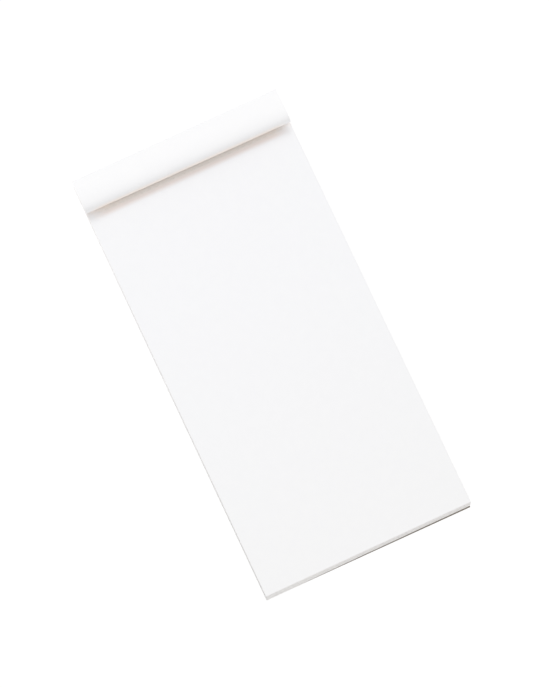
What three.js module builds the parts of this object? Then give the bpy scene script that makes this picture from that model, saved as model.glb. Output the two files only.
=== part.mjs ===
// A top-bound notepad: plain white sheets, glued at their heads into a cover of white-faced kraft board.
// The cover runs under the sheets, up over the spine and a short way back over them as an arched, springy flap.
// Millimetres, +Z up. The pad lies on its back: X runs across it and +Y points to the bound end.
// The origin is the middle of the face that it rests on.
import * as THREE from 'three';

// Cover board and its white facing, which is bonded all over the outside
const coverWidth = 85;
const coverLength = 174.6;
const boardThickness = 0.5;
const facingThickness = 0.1;

// Sheets, a little within the cover at each side
const sheetCount = 50;
const sideMargin = 0.15;
const sheetThickness = 0.155;
const footMargin = 0.45;
const sideJog = 0.1;
const footJog = 0.1;

// Glue film between the sheets' heads and the spine, which stops short of the sheets' sides
const glueThickness = 0.3;
const glueMargin = 0.85;

// Spine and flap
const headroom = 2.3;
const foldInnerRadius = 0.9;
const flapLength = 14.36;
const flapRise = 18;
const flapDroop = 75;
const droopPower = 2.6;
const creaseSlot = 0.3;

// Tear line of the top sheet, just clear of the flap
const tearClearance = 0.8;
const tearPitch = 3;
const tieWidth = 1.1;
const tearSlot = 0.3;

// Fineness of the curves
const foldSteps = 8;
const flapSteps = 24;

const degree = Math.PI / 180;
const coverThickness = boardThickness + facingThickness;
const sheetWidth = coverWidth - 2 * sideMargin;
const glueWidth = sheetWidth - 2 * glueMargin;
const spineOuterY = coverLength / 2;
const spineInnerY = spineOuterY - coverThickness;
const footY = -coverLength / 2;
const blockTop = coverThickness + sheetCount * sheetThickness;
const headY = spineInnerY - glueThickness;
const sheetFootY = footY + footMargin;

// The lower fold is scored hard: its inside is a sharp corner, and its outside a round of the cover's thickness
const lowerFold = { y: spineInnerY, z: coverThickness, radius: coverThickness };

// The upper fold stands proud of the sheets and turns the cover back over them
const upperFold = {
  y: spineInnerY - foldInnerRadius,
  z: blockTop + headroom,
  radius: foldInnerRadius + coverThickness,
};
const foldTurn = 90 - flapRise;
const creaseAngle = foldTurn / 2;

// Points of a fold's arc at a depth under the outer face, as [y, z]; angle 0 faces +Y and 90 faces +Z
function foldArc(fold, depth, startAngle, endAngle) {
  const radius = fold.radius - depth;
  if (radius < 1e-6) {
    return [[fold.y, fold.z]];
  }
  return Array.from({ length: foldSteps + 1 }, (_, step) => {
    const angle = (startAngle + (endAngle - startAngle) * step / foldSteps) * degree;
    return [fold.y + radius * Math.cos(angle), fold.z + radius * Math.sin(angle)];
  });
}

// Half of the crease's slot, as the angle that it takes at a depth under the outer face
function halfSlotAngle(depth) {
  return Math.asin(creaseSlot / 2 / (upperFold.radius - depth)) / degree;
}

// The flap's slope, in degrees above level, at a distance from its fold towards the free edge
function flapSlope(distance) {
  return flapRise - (flapRise + flapDroop) * (distance / flapLength) ** droopPower;
}

// The flap's arch at a depth under its outer face, from the fold's end to the free edge
function flapArch(depth) {
  const start = foldTurn * degree;
  let y = upperFold.y + upperFold.radius * Math.cos(start);
  let z = upperFold.z + upperFold.radius * Math.sin(start);
  const step = flapLength / flapSteps;
  const points = [];
  for (let index = 0; index <= flapSteps; index += 1) {
    const slope = flapSlope(index * step) * degree;
    points.push([y - depth * Math.sin(slope), z - depth * Math.cos(slope)]);
    const middleSlope = flapSlope((index + 0.5) * step) * degree;
    y -= step * Math.cos(middleSlope);
    z += step * Math.sin(middleSlope);
  }
  return points;
}

// The three panels' lines at a depth under the outer face, each from the foot end towards the flap's free edge
const panelLine = {
  back: (depth) => [[footY, depth], [lowerFold.y, depth]],
  spine: (depth) => [
    ...foldArc(lowerFold, depth, -90, 0),
    ...foldArc(upperFold, depth, 0, creaseAngle - halfSlotAngle(depth)),
  ],
  flap: (depth) => [
    ...foldArc(upperFold, depth, creaseAngle + halfSlotAngle(depth), foldTurn).slice(0, -1),
    ...flapArch(depth),
  ],
};

// A closed outline in the Y-Z plane, extruded across the pad and centred on X
function acrossPad(outline, width) {
  const shape = new THREE.Shape(outline.map(([y, z]) => new THREE.Vector2(y, z)));
  const geometry = new THREE.ExtrudeGeometry(shape, { depth: width, bevelEnabled: false });
  const alongY = new THREE.Vector3(0, 1, 0);
  const alongZ = new THREE.Vector3(0, 0, 1);
  const alongX = new THREE.Vector3(1, 0, 0);
  geometry.applyMatrix4(new THREE.Matrix4().makeBasis(alongY, alongZ, alongX));
  geometry.translate(-width / 2, 0, 0);
  return geometry;
}

// One layer of one panel, between two depths under the outer face
function coverLayer(panel, outerDepth, innerDepth) {
  const outer = panelLine[panel](outerDepth);
  const inner = panelLine[panel](innerDepth);
  return acrossPad([...outer, ...inner.reverse()], coverWidth);
}

const pad = new THREE.Group();

function addPiece(name, geometry, color, roughness) {
  const material = new THREE.MeshStandardMaterial({ color, roughness, metalness: 0 });
  const piece = new THREE.Mesh(geometry, material);
  piece.name = name;
  pad.add(piece);
  return piece;
}

function addKraft(name, geometry) {
  return addPiece(name, geometry, 0xb08a63, 0.9);
}

function addPaper(name, geometry) {
  return addPiece(name, geometry, 0xf4f4f3, 0.85);
}

// Cover: white facing outside, kraft board inside, in the panels that the scores make
function addCover() {
  for (const panel of ['back', 'spine', 'flap']) {
    addPaper(`cover_${panel}_facing`, coverLayer(panel, 0, facingThickness));
    addKraft(`cover_${panel}_board`, coverLayer(panel, facingThickness, coverThickness));
  }
}

// Glue: fills the space between the sheets' heads and the spine's inner face
function addGlue() {
  const outline = [
    [headY, coverThickness],
    [spineInnerY, coverThickness],
    [spineInnerY, blockTop],
    [headY, blockTop],
  ];
  addPiece('binding_glue', acrossPad(outline, glueWidth), 0xe9e4d2, 0.5);
}

// Sheets under the top one: square at the head, where they were knocked up for gluing, a little uneven elsewhere
function addLowerSheets() {
  for (let number = 2; number <= sheetCount; number += 1) {
    const sideShift = sideJog * Math.sin(number * 2.4);
    const sheetFoot = sheetFootY + footJog * Math.sin(number * 1.7 + 1);
    const length = headY - sheetFoot;
    const geometry = new THREE.BoxGeometry(sheetWidth, length, sheetThickness);
    const sheet = addPaper(`sheet_${String(number).padStart(2, '0')}`, geometry);
    sheet.position.set(sideShift, sheetFoot + length / 2, blockTop - (number - 0.5) * sheetThickness);
  }
}

// Top sheet: a stub that stays in the binding, and the leaf, which bends up and tears off along a line of cuts.
// The leaf's ties reach the stub, and its cuts stand back from it.
function addTopSheet() {
  const freeEdgeY = flapArch(0)[flapSteps][0];
  const tearY = freeEdgeY - tearClearance;
  const stub = new THREE.BoxGeometry(sheetWidth, headY - tearY, sheetThickness);
  const stubPiece = addPaper('top_sheet_stub', stub);
  stubPiece.position.set(0, (headY + tearY) / 2, blockTop - sheetThickness / 2);

  const outline = [[-sheetWidth / 2, sheetFootY], [sheetWidth / 2, sheetFootY]];
  const tieCount = Math.floor((sheetWidth - tieWidth) / tearPitch);
  const lastTie = (tieCount - 1) / 2;
  const cutY = tearY - tearSlot;
  outline.push([sheetWidth / 2, cutY]);
  for (let tie = lastTie; tie >= -lastTie; tie -= 1) {
    const middle = tie * tearPitch;
    outline.push([middle + tieWidth / 2, cutY]);
    outline.push([middle + tieWidth / 2, tearY]);
    outline.push([middle - tieWidth / 2, tearY]);
    outline.push([middle - tieWidth / 2, cutY]);
  }
  outline.push([-sheetWidth / 2, cutY]);
  const shape = new THREE.Shape(outline.map(([x, y]) => new THREE.Vector2(x, y)));
  const leaf = new THREE.ExtrudeGeometry(shape, { depth: sheetThickness, bevelEnabled: false });
  addPaper('top_sheet_leaf', leaf).position.set(0, 0, blockTop - sheetThickness);
}

addCover();
addGlue();
addLowerSheets();
addTopSheet();

export default pad;
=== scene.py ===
"""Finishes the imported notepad: a cover of white-faced kraft board round a stack of white sheets.

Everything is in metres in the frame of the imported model: X runs across the pad, +Y points to its
bound end, and +Z is up.
"""
import math
import random
from functools import partial

import bmesh
import bpy
from mathutils import Matrix, Vector


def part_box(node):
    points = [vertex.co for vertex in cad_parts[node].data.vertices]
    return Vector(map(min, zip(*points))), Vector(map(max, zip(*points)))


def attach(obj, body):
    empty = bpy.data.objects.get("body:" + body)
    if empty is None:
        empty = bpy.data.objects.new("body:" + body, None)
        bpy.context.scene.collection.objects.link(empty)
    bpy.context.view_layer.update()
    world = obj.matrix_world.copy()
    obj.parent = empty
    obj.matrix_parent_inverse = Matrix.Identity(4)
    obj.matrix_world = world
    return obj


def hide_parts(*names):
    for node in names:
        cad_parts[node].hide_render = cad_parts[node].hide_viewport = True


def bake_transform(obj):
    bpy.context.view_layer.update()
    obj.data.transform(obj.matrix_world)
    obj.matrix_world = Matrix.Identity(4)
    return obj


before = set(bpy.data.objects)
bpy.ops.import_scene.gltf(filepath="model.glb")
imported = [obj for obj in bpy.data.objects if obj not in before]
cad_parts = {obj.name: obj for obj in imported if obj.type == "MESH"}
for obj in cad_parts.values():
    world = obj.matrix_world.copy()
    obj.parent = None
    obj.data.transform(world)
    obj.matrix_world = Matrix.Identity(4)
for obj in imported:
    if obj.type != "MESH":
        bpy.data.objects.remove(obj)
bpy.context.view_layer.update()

MM = 0.001

# Sizes that the frame gives
back_low, back_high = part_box("cover_back_board")
facing_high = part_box("cover_back_facing")[1]
spine_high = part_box("cover_spine_facing")[1]
stub_low, stub_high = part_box("top_sheet_stub")
leaf_low, leaf_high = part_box("top_sheet_leaf")
glue_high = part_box("binding_glue")[1]
SHEET_NODES = sorted(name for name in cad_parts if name.startswith("sheet_"))

HALF_WIDTH = back_high.x
FOOT_Y = back_low.y
SPINE_Y = spine_high.y
FACING = facing_high.z
COVER = back_high.z
BLOCK_TOP = stub_high.z
TEAR_Y = stub_low.y

# Shape of the folds and of the flap's arch, as the solid has it
FOLD_INNER_RADIUS = 0.9 * MM
HEADROOM = 2.3 * MM
FLAP_LENGTH = 14.36 * MM
FLAP_RISE = math.radians(18)
FLAP_DROOP = math.radians(75)
DROOP_POWER = 2.6

# Fineness of the cover's mesh, along it from the foot to the free edge, and across it
BACK_STEPS = 60
LOWER_FOLD_STEPS = 8
SPINE_STEPS = 10
UPPER_FOLD_STEPS = 16
FLAP_STEPS = 44
COVER_COLUMNS = 48

# What the real pad adds to it: a cover cut and folded a little out of square, and a flap that curls
# up at its ends. The skews and the twist are what each end gets, one more and the other less. The
# spread is how much further out each end of the fold and flap lies. Shift and spread grow from the
# foot of the spine to the flap, by a power of the way.
FOOT_REACH = 0.16 * MM
FOOT_SKEW = 0.17 * MM
BACK_SHIFT = 0.14 * MM
FOLD_SHIFT = 0.23 * MM
FOLD_SPREAD = 0.13 * MM
FOLD_SHIFT_POWER = 3
FLAP_SKEW = 0.2 * MM
FLAP_TWIST = 0.12 * MM
FLAP_CURL = 0.45 * MM
CURL_POWER = 6
FLAP_WAVE = 0.04 * MM
FLAP_WAVE_PITCH = 61 * MM
FLAP_WAVE_PHASE = 0.7
FLAP_RISE_POWER = 1.5

# The foot's right corner is blunted: most on the cover, and on the sheets more the deeper they lie
CORNER_REACH = 4 * MM
CORNER_POWER = 8
COVER_CORNER_WEAR = 0.6 * MM
SHEET_CORNER_WEAR = 0.35 * MM

# Sheets: how far the stack opens at the foot, how far in from the foot it starts to, and how far
# the stack's foot leans out from the top sheet to the bottom one, with some more at the left
# corner. Near the head the stack leans to the left a little, so that its bottom and the cover's
# back stand off to the right there.
FAN = 0.1 * MM
FAN_REACH = 60 * MM
FAN_MIDDLE_SHARE = 0.55
LEAN = 0.22 * MM
CORNER_LEAN = 0.3 * MM
HEAD_LEAN = 0.2 * MM
HEAD_REACH = 50 * MM
TEAR_SLOT = 0.12 * MM
TEAR_PITCH = 3 * MM
TIE_WIDTH = 1.1 * MM
LEAF_BEND = 7 * MM

# Fineness of the sheets' meshes
SHEET_COLUMNS = 14
SHEET_FOOT_ROWS = 14
SHEET_REST_ROWS = 6
LEAF_ROWS = 24
LEAF_BEND_ROWS = 16
STUB_ROWS = 8

# The painted warm light along the flap's edge, on the sheets and on the facing, fades towards the
# pad's sides, and ends this far in from them
END_MARGIN = 1.5 * MM

# The flap's edge: painted shade greys the facing for a way in from the cut, where the flap turns
# down away from the key. A creamy tint along the cut, partly painted warm light and partly the
# kraft showing at the cut, fades out near its two ends
EDGE_TINT_WIDTH = 4.2 * MM
EDGE_TINT_ENDS = 6.5 * MM
EDGE_SHADE_STOPS = [
    (0.0, (0.98, 0.98, 0.98)),
    (0.23, (0.948, 0.948, 0.948)),
    (0.38, (0.932, 0.929, 0.926)),
    (0.75, (0.983, 0.983, 0.983)),
    (1.0, (1, 1, 1)),
]
CREAM_AND_WARM_LIGHT_STOPS = [
    (0.0, (1, 0.92, 0.84)),
    (0.23, (1, 0.944, 0.891)),
    (0.38, (1, 0.994, 0.985)),
    (0.5, (1, 1, 1)),
]

# Painted warm light on the sheets: a warm tint for the light that the flap's kraft side throws on
# them in its shadow, most at its edge, less and less in front of it, under it and towards its ends
WARM_LIGHT_FRONT = 3.6 * MM
WARM_LIGHT_BACK = 6.0 * MM
WARM_LIGHT_ENDS = 7.5 * MM
WARM_LIGHT_STOPS = [
    (0.0, (1, 1, 1)),
    (0.17, (0.99, 0.90, 0.853)),
    (0.30, (1, 0.945, 0.88)),
    (0.38, (1, 0.945, 0.885)),
    (1.0, (1, 1, 1)),
]

# Painted shade: the sheets are a shade darker and less blue towards the foot, where the light falls
# off
FOOT_SHADE_REACH = 110 * MM
FOOT_SHADE_STOPS = [(0.0, (1, 1, 1)), (1.0, (0.990, 0.988, 0.976))]

# Painted shade on the sheets' edges at the left, darkest towards the foot, where that side gets
# less light
SIDE_SHADE_WIDTH = 0.4 * MM
SIDE_SHADE_REACH = 150 * MM
SIDE_SHADE_STOPS = [(0.0, (1, 1, 1)), (0.5, (0.80, 0.80, 0.80)), (1.0, (0.58, 0.58, 0.58))]

# Painted shadow on the kraft lip that shows past the sheets' foot: darker and greyer, for the
# contact shadow there
LIP_SHADOW_WIDTH = 1.0 * MM
LIP_SHADOW_STOPS = [(0.0, (0.29, 0.43, 0.80)), (0.55, (0.38, 0.55, 0.98)), (1.0, (1, 1, 1))]

# View: the lens is long, and the camera stands over the pad's foot and to its left
CAMERA_AZIMUTH = math.radians(-24.98)
CAMERA_ELEVATION = math.radians(80.0)
CAMERA_DISTANCE = 2120 * MM
CAMERA_RIGHT = 1.60 * MM
CAMERA_UP = 0.74 * MM
FOCAL_LENGTH_PIXELS = 5600
FRAME_HEIGHT_PIXELS = 688
SENSOR = 36
CAMERA_CLIP = 10 * MM

# Light: a soft key from beyond the bound end, a low fill from the left, and a pale room around them
KEY_AZIMUTH = CAMERA_AZIMUTH + math.pi
KEY_ELEVATION = math.radians(41)
KEY_DISTANCE = 2.6
KEY_SIZE = 0.95
KEY_POWER = 16.2
FILL_AZIMUTH = math.radians(-77)
FILL_ELEVATION = math.radians(20)
FILL_DISTANCE = 2.6
FILL_SIZE = 1.6
FILL_POWER = 27
ROOM_LEVEL = 0.727
FLOOR_SIZE = 6
FLOOR_WHITE = 1.08
FLOOR_WHITE_SHARE = 0.82

MERGE_DISTANCE = 0.001 * MM
SHARP_ANGLE = math.radians(40)

random.seed(8)


# Meshes

def spaced(low, high, count):
    """count + 1 values from low to high, evenly spaced."""
    return [low + (high - low) * step / count for step in range(count + 1)]


def closed_layer(name, columns, rows, surfaces, keep=None, rims=None):
    """A closed mesh through some surfaces, from first to last, with a band of rim between each two.

    Each surface is a function of a column's and a row's value that returns a point. The first is
    the one that faces up on a sheet that lies flat. The outer faces take the material slots of the
    bands next to them, and each band's rim takes its number in rims, or else the band's own. Where
    keep says no for a cell, the layer has a hole right through. The UV map holds the column's and
    row's values in metres, so a pattern stays on the surface when the piece bends.
    """
    def kept(i, j):
        inside = 0 <= i < len(columns) - 1 and 0 <= j < len(rows) - 1
        return inside and (keep is None or keep(i, j))

    width = len(columns)
    size = width * len(rows)
    bands = len(surfaces) - 1
    points = [surface(u, v) for surface in surfaces for v in rows for u in columns]
    faces = []
    slots = []

    def wall(first, second):
        for band in range(bands):
            near, far = band * size, (band + 1) * size
            faces.append((first + near, second + near, second + far, first + far))
            slots.append(rims[band] if rims else band)

    for j in range(len(rows) - 1):
        for i in range(width - 1):
            if not kept(i, j):
                continue
            a = j * width + i
            b, c, d = a + 1, a + 1 + width, a + width
            last = bands * size
            faces.append((a, b, c, d))
            slots.append(0)
            faces.append((d + last, c + last, b + last, a + last))
            slots.append(bands - 1)
            if not kept(i, j - 1):
                wall(b, a)
            if not kept(i, j + 1):
                wall(d, c)
            if not kept(i - 1, j):
                wall(a, d)
            if not kept(i + 1, j):
                wall(c, b)
    mesh = bpy.data.meshes.new(name)
    mesh.from_pydata(points, [], faces)
    mesh.polygons.foreach_set("material_index", slots)
    flat = mesh.uv_layers.new(name="flat")
    for loop in mesh.loops:
        row, column = divmod(loop.vertex_index % size, width)
        flat.data[loop.index].uv = (columns[column], rows[row])
    mesh.shade_smooth()
    mesh.set_sharp_from_angle(angle=SHARP_ANGLE)
    piece = bpy.data.objects.new(name, mesh)
    bpy.context.scene.collection.objects.link(piece)
    return piece


def merge_doubles(piece):
    """Joins points that meet at a sharp inner corner, and drops loose ones that a hole leaves."""
    work = bmesh.new()
    work.from_mesh(piece.data)
    bmesh.ops.remove_doubles(work, verts=work.verts, dist=MERGE_DISTANCE)
    loose = [point for point in work.verts if not point.link_faces]
    bmesh.ops.delete(work, geom=loose, context="VERTS")
    work.to_mesh(piece.data)
    work.free()
    piece.data.update()


# Cover

def cover_line():
    """The cover's outer face in the Y-Z plane, from the foot to the flap's free edge.

    Each entry is the length run so far, the point's Y and Z, and the outward normal's Y and Z.
    """
    line = []
    lower_y = SPINE_Y - COVER
    for y in spaced(FOOT_Y, lower_y, BACK_STEPS):
        line.append((y - FOOT_Y, y, 0.0, 0.0, -1.0))
    run = lower_y - FOOT_Y

    def arc(centre_y, centre_z, radius, start, end, steps):
        nonlocal run
        for angle in spaced(start, end, steps)[1:]:
            normal_y, normal_z = math.cos(angle), math.sin(angle)
            run += radius * abs(end - start) / steps
            y, z = centre_y + radius * normal_y, centre_z + radius * normal_z
            line.append((run, y, z, normal_y, normal_z))

    arc(lower_y, COVER, COVER, -math.pi / 2, 0.0, LOWER_FOLD_STEPS)
    fold_z = BLOCK_TOP + HEADROOM
    wall = spaced(COVER, fold_z, SPINE_STEPS)[1:]
    for z in wall:
        run += wall[1] - wall[0]
        line.append((run, SPINE_Y, z, 1.0, 0.0))
    radius = FOLD_INNER_RADIUS + COVER
    arc(SPINE_Y - radius, fold_z, radius, 0.0, math.pi / 2 - FLAP_RISE, UPPER_FOLD_STEPS)

    step = FLAP_LENGTH / FLAP_STEPS
    y, z = line[-1][1], line[-1][2]
    for index in range(1, FLAP_STEPS + 1):
        middle = flap_slope((index - 0.5) * step)
        y -= step * math.cos(middle)
        z += step * math.sin(middle)
        run += step
        slope = flap_slope(index * step)
        line.append((run, y, z, math.sin(slope), math.cos(slope)))
    return line


def flap_slope(distance):
    """The flap's slope above level, at a distance from its fold."""
    return FLAP_RISE - (FLAP_RISE + FLAP_DROOP) * (distance / FLAP_LENGTH) ** DROOP_POWER


COVER_LINE = cover_line()
LINE_AT = {entry[0]: entry for entry in COVER_LINE}
FREE_EDGE_Y = COVER_LINE[-1][1]
SPINE_START = COVER_LINE[BACK_STEPS][0]
FLAP_START = COVER_LINE[-1 - FLAP_STEPS][0]
COVER_RUN = COVER_LINE[-1][0]


def cover_point(x, run, depth):
    """A point of the cover, at a depth under its outer face."""
    _, y, z, normal_y, normal_z = LINE_AT[run]
    worn = COVER_CORNER_WEAR * corner_wear(x, y)
    y -= depth * normal_y
    z -= depth * normal_z
    foot_share = max(0.0, 1 - run / (SPINE_Y - FOOT_Y))
    y -= (FOOT_REACH + FOOT_SKEW * x / HALF_WIDTH) * foot_share
    flap_share = max(0.0, (run - FLAP_START) / (COVER_RUN - FLAP_START))
    y -= FLAP_SKEW * (x / HALF_WIDTH) * flap_share
    wave = FLAP_WAVE * math.sin(2 * math.pi * x / FLAP_WAVE_PITCH + FLAP_WAVE_PHASE)
    curl = FLAP_CURL * (x / HALF_WIDTH) ** CURL_POWER
    z += flap_share ** FLAP_RISE_POWER * (FLAP_TWIST * x / HALF_WIDTH + wave + curl)
    fold_share = min(1.0, max(0.0, (run - SPINE_START) / (FLAP_START - SPINE_START)))
    x += (FOLD_SPREAD * x / HALF_WIDTH - FOLD_SHIFT) * fold_share ** FOLD_SHIFT_POWER
    x += BACK_SHIFT + head_lean(y, 1 - fold_share) - worn
    return (x, y, z)


def corner_wear(x, y):
    """A place's share of the wear at the foot's right corner, which draws it in to the left."""
    nearness = max(0.0, 1 - (y - FOOT_Y) / CORNER_REACH)
    return nearness * max(0.0, x / HALF_WIDTH) ** CORNER_POWER


def head_lean(y, depth_share):
    """How far a place stands off to the right near the head, by its depth in the stack."""
    nearness = min(1.0, max(0.0, 1 - (glue_high.y - y) / HEAD_REACH))
    return depth_share * nearness * HEAD_LEAN


def make_cover_part(name, rows, materials, *panels):
    """A stretch of the cover: board with a facing glued on. The board's cut rims look different."""
    columns = spaced(-HALF_WIDTH, HALF_WIDTH, COVER_COLUMNS)
    surfaces = [partial(cover_point, depth=depth) for depth in (COVER, FACING, 0.0)]
    piece = closed_layer(name, columns, rows, surfaces, rims=(2, 1))
    merge_doubles(piece)
    for slot in ("kraft_board", "white_facing", "board_edge"):
        piece.data.materials.append(materials[slot])
    nodes = [f"cover_{panel}_{layer}" for panel in panels for layer in ("board", "facing")]
    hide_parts(*nodes)
    return piece


def make_cover(materials):
    """The back, and the spine and flap as one piece. They meet just before the lower fold."""
    rows = [entry[0] for entry in COVER_LINE]
    back = make_cover_part("cover_back_sheet", rows[:BACK_STEPS], materials, "back")
    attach(back, "pad")
    front = make_cover_part("cover_fold_sheet", rows[BACK_STEPS - 1:], materials, "spine", "flap")
    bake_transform(front)


# Sheets

def foot_opening(x, y):
    """How much of the fan shows at a place: nothing at the head, most at the two foot corners."""
    nearness = max(0.0, 1 - (y - FOOT_Y) / FAN_REACH)
    side = FAN_MIDDLE_SHARE + (1 - FAN_MIDDLE_SHARE) * (x / HALF_WIDTH) ** 2
    return nearness ** 2 * side


def foot_lean(x, y, depth_share):
    """How far a sheet stands out at the foot, by its depth in the stack."""
    nearness = max(0.0, 1 - (y - FOOT_Y) / FAN_REACH)
    corner = max(0.0, -x / HALF_WIDTH) ** 1.5
    return depth_share * nearness * (LEAN + CORNER_LEAN * corner)


def fan_shares(count):
    """For each sheet from the bottom, its share of the fan: it only grows, by uneven steps."""
    steps = [random.random() ** 2 for _ in range(count)]
    total = sum(steps)
    shares = []
    run = 0.0
    for step in steps:
        run += step / total
        shares.append(run)
    return shares


def sheet_point(x, y, z, depth_share=0.0, fan_share=1.0):
    """A sheet's point, by its height in a square stack, its depth and its share of the fan."""
    worn = SHEET_CORNER_WEAR * depth_share ** 2 * corner_wear(x, y)
    opened = z + FAN * fan_share * foot_opening(x, y)
    return (x + head_lean(y, depth_share) - worn, y - foot_lean(x, y, depth_share), opened)


def make_lower_sheets(shares):
    """Every sheet under the top one, each a thin solid of its own that follows the fan."""
    for node, share in zip(reversed(SHEET_NODES), shares):
        low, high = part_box(node)
        columns = spaced(low.x, high.x, SHEET_COLUMNS)
        rows = spaced(low.y, low.y + FAN_REACH, SHEET_FOOT_ROWS)
        rows += spaced(low.y + FAN_REACH, high.y, SHEET_REST_ROWS)[1:]
        depth_share = (BLOCK_TOP - high.z) / (BLOCK_TOP - COVER)
        faces = [
            partial(sheet_point, z=z, depth_share=depth_share, fan_share=share)
            for z in (high.z, low.z)
        ]
        piece = closed_layer(f"{node}_paper", columns, rows, faces, rims=(1,))
        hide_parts(node)
        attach(piece, "pad")
        yield piece


def make_top_sheet():
    """The top sheet in one piece, with the row of cuts along its tear line right through it."""
    low_x, high_x = leaf_low.x, leaf_high.x
    tie_count = int((high_x - low_x - TIE_WIDTH) / TEAR_PITCH)
    ties = [(index - (tie_count - 1) / 2) * TEAR_PITCH for index in range(tie_count)]
    columns = [low_x]
    for tie in ties:
        columns += [tie - TIE_WIDTH / 2, tie + TIE_WIDTH / 2]
    columns.append(high_x)

    foot_y, head_y = leaf_low.y, stub_high.y
    rows = spaced(foot_y, foot_y + FAN_REACH, LEAF_ROWS)
    rows += spaced(foot_y + FAN_REACH, TEAR_Y - LEAF_BEND, LEAF_ROWS)[1:]
    rows += spaced(TEAR_Y - LEAF_BEND, TEAR_Y - TEAR_SLOT, LEAF_BEND_ROWS)[1:]
    slot_row = len(rows) - 1
    rows.append(TEAR_Y)
    rows += spaced(TEAR_Y, head_y, STUB_ROWS)[1:]

    def keep(i, j):
        between_ties = i % 2 == 0 and 0 < i < len(columns) - 2
        return not (j == slot_row and between_ties)

    faces = [partial(sheet_point, z=z) for z in (stub_high.z, stub_low.z)]
    piece = closed_layer("top_sheet_paper", columns, rows, faces, keep, rims=(1,))
    merge_doubles(piece)
    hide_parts("top_sheet_stub", "top_sheet_leaf")
    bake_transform(piece)
    return piece


# Materials

def new_material(name, color, roughness):
    """A material and its Principled shader, in a plain colour that a pattern may replace."""
    material = bpy.data.materials.new(name)
    material.use_nodes = True
    shader = material.node_tree.nodes["Principled BSDF"]
    shader.inputs["Base Color"].default_value = (*color, 1)
    shader.inputs["Roughness"].default_value = roughness
    return material, shader


def coordinates(material, source, scale):
    """The surface's own coordinates, times a scale for each direction."""
    nodes, links = material.node_tree.nodes, material.node_tree.links
    place = nodes.new("ShaderNodeTexCoord")
    mapping = nodes.new("ShaderNodeMapping")
    mapping.inputs["Scale"].default_value = scale
    links.new(place.outputs[source], mapping.inputs["Vector"])
    return mapping.outputs["Vector"]


def noise(material, vector, scale, detail, roughness=0.6):
    """A grey pattern. The scale is about how many of its largest grains lie in a metre."""
    nodes, links = material.node_tree.nodes, material.node_tree.links
    texture = nodes.new("ShaderNodeTexNoise")
    texture.inputs["Scale"].default_value = scale
    texture.inputs["Detail"].default_value = detail
    texture.inputs["Roughness"].default_value = roughness
    links.new(vector, texture.inputs["Vector"])
    return texture.outputs["Fac"]


def ramp(material, value, stops):
    """A colour for each value, between stops of position and colour."""
    nodes, links = material.node_tree.nodes, material.node_tree.links
    node = nodes.new("ShaderNodeValToRGB")
    elements = node.color_ramp.elements
    while len(elements) < len(stops):
        elements.new(0.5)
    for element, (position, color) in zip(elements, stops):
        element.position = position
        element.color = (*color, 1)
    links.new(value, node.inputs["Fac"])
    return node.outputs["Color"]


def multiply(material, first, second, share=None):
    """One colour times another, or only a share of the way to that."""
    nodes, links = material.node_tree.nodes, material.node_tree.links
    node = nodes.new("ShaderNodeMix")
    node.data_type = "RGBA"
    node.blend_type = "MULTIPLY"
    node.inputs["Factor"].default_value = 1
    if share is not None:
        links.new(share, node.inputs["Factor"])
    links.new(first, node.inputs["A"])
    links.new(second, node.inputs["B"])
    return node.outputs["Result"]


def add_bump(material, shader, heights):
    """Stacks bumps, each a pair of a height pattern and its depth in metres."""
    nodes, links = material.node_tree.nodes, material.node_tree.links
    normal = None
    for height, depth in heights:
        bump = nodes.new("ShaderNodeBump")
        bump.inputs["Distance"].default_value = depth
        links.new(height, bump.inputs["Height"])
        if normal is not None:
            links.new(normal, bump.inputs["Normal"])
        normal = bump.outputs["Normal"]
    links.new(normal, shader.inputs["Normal"])


def along_share(material, flat, start, end, axis="Y"):
    """How far a place is on the way from start to end, along a piece or across it, from 0 to 1."""
    nodes, links = material.node_tree.nodes, material.node_tree.links
    split = nodes.new("ShaderNodeSeparateXYZ")
    links.new(flat, split.inputs[0])
    scale = nodes.new("ShaderNodeMapRange")
    scale.inputs["From Min"].default_value = start
    scale.inputs["From Max"].default_value = end
    links.new(split.outputs[axis], scale.inputs["Value"])
    return scale.outputs["Result"]


def both_shares(material, first, second):
    """One share times another."""
    nodes, links = material.node_tree.nodes, material.node_tree.links
    node = nodes.new("ShaderNodeMath")
    node.operation = "MULTIPLY"
    links.new(first, node.inputs[0])
    links.new(second, node.inputs[1])
    return node.outputs[0]


def away_from_ends(material, flat, low, high, reach):
    """How far a place is in from both ends of a piece's width, as a share of the way to a reach."""
    from_low = along_share(material, flat, low + END_MARGIN, low + reach, axis="X")
    from_high = along_share(material, flat, high - END_MARGIN, high - reach, axis="X")
    return both_shares(material, from_low, from_high)


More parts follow.
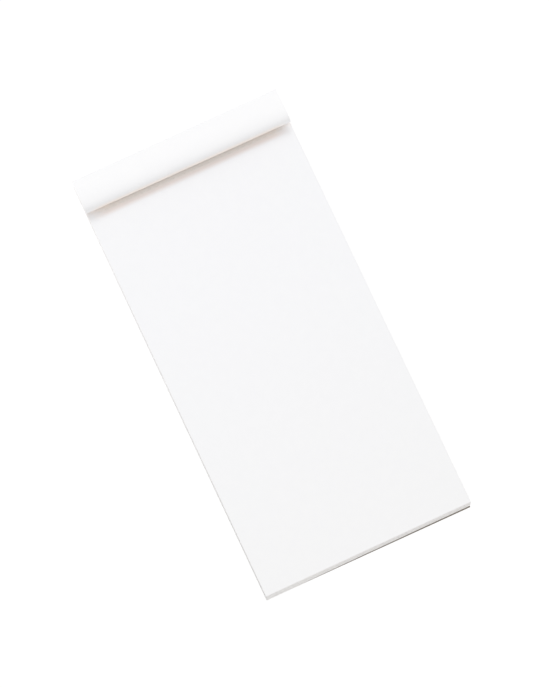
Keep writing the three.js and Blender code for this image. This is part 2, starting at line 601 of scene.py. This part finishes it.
def paper_material():
    """Uncoated white paper: a faint cloudy look-through and short fibres."""
    material, shader = new_material("white_paper", (0.93, 0.93, 0.935), roughness=0.9)
    links = material.node_tree.links
    flat = coordinates(material, "UV", (1, 1, 1))
    cloud = noise(material, flat, scale=260, detail=3)
    tooth = noise(material, flat, scale=5200, detail=4, roughness=0.7)
    along = coordinates(material, "UV", (1, 0.25, 1))
    fibre = noise(material, along, scale=9000, detail=2)
    clouds = ramp(material, cloud, [(0.3, (0.925, 0.925, 0.940)), (0.7, (0.934, 0.934, 0.948))])
    grains = ramp(material, tooth, [(0.25, (0.985, 0.985, 0.985)), (0.6, (1, 1, 1))])
    # Painted warm light: the sheets are warmer near the flap's edge, where the kraft side's
    # reflected light falls in its shadow, fading towards the pad's sides
    under_flap = along_share(material, flat, FREE_EDGE_Y - WARM_LIGHT_FRONT, FREE_EDGE_Y + WARM_LIGHT_BACK)
    painted_warm_light = ramp(material, under_flap, WARM_LIGHT_STOPS)
    # Painted shade: the sheets darken a little towards the foot
    footward = along_share(material, flat, FOOT_Y + FOOT_SHADE_REACH, FOOT_Y)
    painted_foot_shade = ramp(material, footward, FOOT_SHADE_STOPS)
    inward = away_from_ends(material, flat, leaf_low.x, leaf_high.x, WARM_LIGHT_ENDS)
    face = multiply(material, clouds, grains)
    face = multiply(material, face, painted_warm_light, inward)
    links.new(multiply(material, face, painted_foot_shade), shader.inputs["Base Color"])
    shader.inputs["Specular IOR Level"].default_value = 0.25
    add_bump(material, shader, [(tooth, 0.006 * MM), (fibre, 0.004 * MM)])
    return material


def paper_edge_material():
    """The sheets' cut edges: duller and warmer than their faces, in layers, with painted shade at
    the left towards the foot.
    """
    material, shader = new_material("paper_edge", (0.89, 0.875, 0.85), roughness=0.95)
    links = material.node_tree.links
    place = coordinates(material, "Object", (0.02, 0.02, 1))
    layer = noise(material, place, scale=4200, detail=2)
    layers = ramp(material, layer, [(0.35, (0.833, 0.804, 0.766)), (0.65, (0.877, 0.851, 0.818))])
    flat = coordinates(material, "UV", (1, 1, 1))
    # Painted shade: the left edges darken towards the foot
    side_x = leaf_low.x
    beside = along_share(material, flat, side_x + SIDE_SHADE_WIDTH, side_x, axis="X")
    footward = along_share(material, flat, FOOT_Y + SIDE_SHADE_REACH, FOOT_Y)
    painted_side_shade = ramp(material, both_shares(material, beside, footward), SIDE_SHADE_STOPS)
    links.new(multiply(material, layers, painted_side_shade), shader.inputs["Base Color"])
    shader.inputs["Specular IOR Level"].default_value = 0.15
    return material


def facing_material():
    """Smooth white facing: finer than the sheets, with a slight silk."""
    material, shader = new_material("white_facing", (0.93, 0.93, 0.925), roughness=0.62)
    links = material.node_tree.links
    flat = coordinates(material, "UV", (1, 1, 1))
    cloud = noise(material, flat, scale=120, detail=3)
    tooth = noise(material, flat, scale=3600, detail=3)
    clouds = ramp(material, cloud, [(0.3, (0.939, 0.937, 0.947)), (0.7, (0.952, 0.949, 0.955))])
    # Painted shade greys the facing near the flap's cut edge, and the creamy tint along the cut is
    # partly painted warm light
    from_edge = along_share(material, flat, COVER_RUN, COVER_RUN - EDGE_TINT_WIDTH)
    inward = away_from_ends(material, flat, -HALF_WIDTH, HALF_WIDTH, EDGE_TINT_ENDS)
    color = multiply(material, clouds, ramp(material, from_edge, EDGE_SHADE_STOPS))
    color = multiply(material, color, ramp(material, from_edge, CREAM_AND_WARM_LIGHT_STOPS), inward)
    links.new(color, shader.inputs["Base Color"])
    shader.inputs["Specular IOR Level"].default_value = 0.3
    add_bump(material, shader, [(cloud, 0.01 * MM), (tooth, 0.003 * MM)])
    return material


def kraft_material():
    """Brown kraft board: long fibres, dark and pale flecks."""
    material, shader = new_material("kraft_board", (0.56, 0.38, 0.25), roughness=0.92)
    links = material.node_tree.links
    flat = coordinates(material, "UV", (1, 1, 1))
    along = coordinates(material, "UV", (1, 0.2, 1))
    cloud = noise(material, flat, scale=180, detail=4)
    fibre = noise(material, along, scale=2600, detail=4, roughness=0.7)
    fleck = noise(material, flat, scale=1400, detail=1)
    clouds = ramp(material, cloud, [(0.3, (0.75, 0.445, 0.205)), (0.7, (0.83, 0.50, 0.24))])
    fibres = ramp(material, fibre, [(0.3, (0.88, 0.86, 0.84)), (0.65, (1, 1, 1))])
    flecks = ramp(material, fleck, [(0.24, (0.62, 0.56, 0.50)), (0.32, (1, 1, 1))])
    # Painted shadow: the kraft is darker and greyer for a way in from the foot, for the contact
    # shadow at the lip
    painted_lip_shadow = ramp(material, along_share(material, flat, 0, LIP_SHADOW_WIDTH), LIP_SHADOW_STOPS)
    color = clouds
    for pattern in (fibres, flecks, painted_lip_shadow):
        color = multiply(material, color, pattern)
    links.new(color, shader.inputs["Base Color"])
    shader.inputs["Specular IOR Level"].default_value = 0.2
    add_bump(material, shader, [(fibre, 0.02 * MM), (fleck, 0.01 * MM)])
    return material


def board_edge_material():
    """The board's cut rim: its pale core, with the plies showing."""
    material, shader = new_material("board_edge", (0.82, 0.80, 0.76), roughness=0.95)
    links = material.node_tree.links
    place = coordinates(material, "Object", (1, 1, 6))
    ply = noise(material, place, scale=900, detail=3, roughness=0.7)
    plies = ramp(material, ply, [(0.3, (0.76, 0.735, 0.69)), (0.7, (0.88, 0.865, 0.835))])
    links.new(plies, shader.inputs["Base Color"])
    shader.inputs["Specular IOR Level"].default_value = 0.15
    add_bump(material, shader, [(ply, 0.03 * MM)])
    return material


def glue_material():
    """Dried pad glue: milky, a little shiny and lumpy."""
    material, shader = new_material("glue", (0.86, 0.84, 0.77), roughness=0.38)
    links = material.node_tree.links
    place = coordinates(material, "Object", (1, 1, 1))
    lump = noise(material, place, scale=420, detail=3)
    tint = ramp(material, lump, [(0.3, (0.80, 0.77, 0.68)), (0.7, (0.90, 0.88, 0.82))])
    links.new(tint, shader.inputs["Base Color"])
    add_bump(material, shader, [(lump, 0.08 * MM)])
    return material


def floor_material():
    """A white floor: it lights the object as white paint does, and only the eye sees it whiter.

    Its own shading keeps a share of what the camera and mirror rays see, so the pad's shadow shows.
    """
    material, shader = new_material("floor", (0.9, 0.9, 0.9), roughness=1.0)
    nodes, links = material.node_tree.nodes, material.node_tree.links
    shader.inputs["Specular IOR Level"].default_value = 0
    path = nodes.new("ShaderNodeLightPath")
    glow = nodes.new("ShaderNodeEmission")
    glow.inputs["Strength"].default_value = FLOOR_WHITE
    mix = nodes.new("ShaderNodeMixShader")
    seen = nodes.new("ShaderNodeMath")
    seen.operation = "MAXIMUM"
    links.new(path.outputs["Is Camera Ray"], seen.inputs[0])
    links.new(path.outputs["Is Glossy Ray"], seen.inputs[1])
    share = nodes.new("ShaderNodeMath")
    share.operation = "MULTIPLY"
    share.inputs[1].default_value = FLOOR_WHITE_SHARE
    links.new(seen.outputs[0], share.inputs[0])
    links.new(share.outputs[0], mix.inputs["Fac"])
    links.new(shader.outputs[0], mix.inputs[1])
    links.new(glow.outputs[0], mix.inputs[2])
    links.new(mix.outputs[0], nodes["Material Output"].inputs["Surface"])
    return material


# Surroundings

def make_floor():
    half = FLOOR_SIZE / 2
    corners = [(-half, -half, 0), (half, -half, 0), (half, half, 0), (-half, half, 0)]
    mesh = bpy.data.meshes.new("floor")
    mesh.from_pydata(corners, [], [(0, 1, 2, 3)])
    floor = bpy.data.objects.new("floor", mesh)
    bpy.context.scene.collection.objects.link(floor)
    mesh.materials.append(floor_material())


def direction(azimuth, elevation):
    """The way from the pad to a place. Azimuth 0 is over the foot, and it grows towards +X."""
    return Vector((
        math.sin(azimuth) * math.cos(elevation),
        -math.cos(azimuth) * math.cos(elevation),
        math.sin(elevation),
    ))


def make_camera():
    back = direction(CAMERA_AZIMUTH, CAMERA_ELEVATION)
    right = Vector((math.cos(CAMERA_AZIMUTH), math.sin(CAMERA_AZIMUTH), 0))
    up = back.cross(right)
    data = bpy.data.cameras.new("camera")
    data.sensor_width = SENSOR
    data.lens = FOCAL_LENGTH_PIXELS / FRAME_HEIGHT_PIXELS * SENSOR
    data.clip_start = CAMERA_CLIP
    camera = bpy.data.objects.new("camera", data)
    bpy.context.scene.collection.objects.link(camera)
    place = back * CAMERA_DISTANCE + right * CAMERA_RIGHT + up * CAMERA_UP
    turn = Matrix((right, up, back)).transposed().to_4x4()
    camera.matrix_world = Matrix.Translation(place) @ turn
    bpy.context.scene.camera = camera


def make_lamp(name, azimuth, elevation, distance, size, power):
    """A round soft lamp that looks at the pad."""
    toward = direction(azimuth, elevation)
    data = bpy.data.lights.new(name, "AREA")
    data.shape = "DISK"
    data.size = size
    data.energy = power
    lamp = bpy.data.objects.new(name, data)
    bpy.context.scene.collection.objects.link(lamp)
    lamp.location = toward * distance
    lamp.rotation_mode = "QUATERNION"
    lamp.rotation_quaternion = toward.to_track_quat("Z", "Y")


def make_lights():
    """The key stands beyond the bound end, straight up in the picture, and the fill at the left."""
    scene = bpy.context.scene
    make_lamp("key", KEY_AZIMUTH, KEY_ELEVATION, KEY_DISTANCE, KEY_SIZE, KEY_POWER)
    make_lamp("fill", FILL_AZIMUTH, FILL_ELEVATION, FILL_DISTANCE, FILL_SIZE, FILL_POWER)

    world = bpy.data.worlds.new("room")
    scene.world = world
    world.use_nodes = True
    nodes, links = world.node_tree.nodes, world.node_tree.links
    background = nodes["Background"]
    background.inputs["Color"].default_value = (1, 1, 1, 1)
    background.inputs["Strength"].default_value = ROOM_LEVEL
    white = nodes.new("ShaderNodeBackground")
    white.inputs["Color"].default_value = (1, 1, 1, 1)
    white.inputs["Strength"].default_value = 1
    path = nodes.new("ShaderNodeLightPath")
    mix = nodes.new("ShaderNodeMixShader")
    links.new(path.outputs["Is Camera Ray"], mix.inputs["Fac"])
    links.new(background.outputs[0], mix.inputs[1])
    links.new(white.outputs[0], mix.inputs[2])
    links.new(mix.outputs[0], nodes["World Output"].inputs["Surface"])


def main():
    materials = {
        "white_paper": paper_material(),
        "paper_edge": paper_edge_material(),
        "white_facing": facing_material(),
        "kraft_board": kraft_material(),
        "board_edge": board_edge_material(),
        "glue": glue_material(),
    }
    make_camera()
    shares = fan_shares(len(SHEET_NODES) + 1)
    make_cover(materials)
    for sheet in (*make_lower_sheets(shares), make_top_sheet()):
        sheet.data.materials.append(materials["white_paper"])
        sheet.data.materials.append(materials["paper_edge"])
    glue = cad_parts["binding_glue"]
    glue.material_slots[0].material = materials["glue"]
    make_floor()
    make_lights()
    bpy.context.scene.view_settings.view_transform = "Standard"


main()
